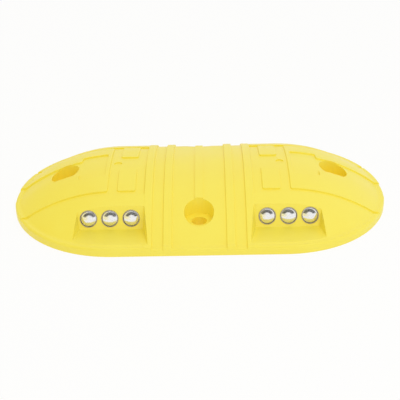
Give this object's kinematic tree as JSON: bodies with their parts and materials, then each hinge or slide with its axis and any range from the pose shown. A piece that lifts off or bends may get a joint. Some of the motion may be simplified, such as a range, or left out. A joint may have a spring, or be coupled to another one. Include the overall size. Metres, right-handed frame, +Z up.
{
  "type": "road stud",
  "caption": "Low domed stadium-shaped road stud moulded in yellow plastic, with raised ribs and pads, counterbored anchor holes, and glass lenses in mirrored cups along its long sides.",
  "frame": {"origin": "centre of the base, on the road surface", "axes": "+X along the stud's length, +Y across it away from the pictured side, +Z up out of the road"},
  "size_m": [0.42, 0.239, 0.0492],
  "materials": {
    "body_plastic": "satin as moulded",
    "lens_glass": "polished clear",
    "cup_mirror": "bright silvered"
  },
  "bodies": {
    "root": {"body_shell": "body_plastic", "lens_front_left_1": "lens_glass", "lens_front_left_2": "lens_glass", "lens_front_left_3": "lens_glass", "lens_front_right_1": "lens_glass", "lens_front_right_2": "lens_glass", "lens_front_right_3": "lens_glass", "lens_back_left_1": "lens_glass", "lens_back_left_2": "lens_glass", "lens_back_left_3": "lens_glass", "lens_back_right_1": "lens_glass", "lens_back_right_2": "lens_glass", "lens_back_right_3": "lens_glass", "cup_front_left_1": "cup_mirror", "cup_front_left_2": "cup_mirror", "cup_front_left_3": "cup_mirror", "cup_front_right_1": "cup_mirror", "cup_front_right_2": "cup_mirror", "cup_front_right_3": "cup_mirror", "cup_back_left_1": "cup_mirror", "cup_back_left_2": "cup_mirror", "cup_back_left_3": "cup_mirror", "cup_back_right_1": "cup_mirror", "cup_back_right_2": "cup_mirror", "cup_back_right_3": "cup_mirror"}
  },
  "joints": []
}
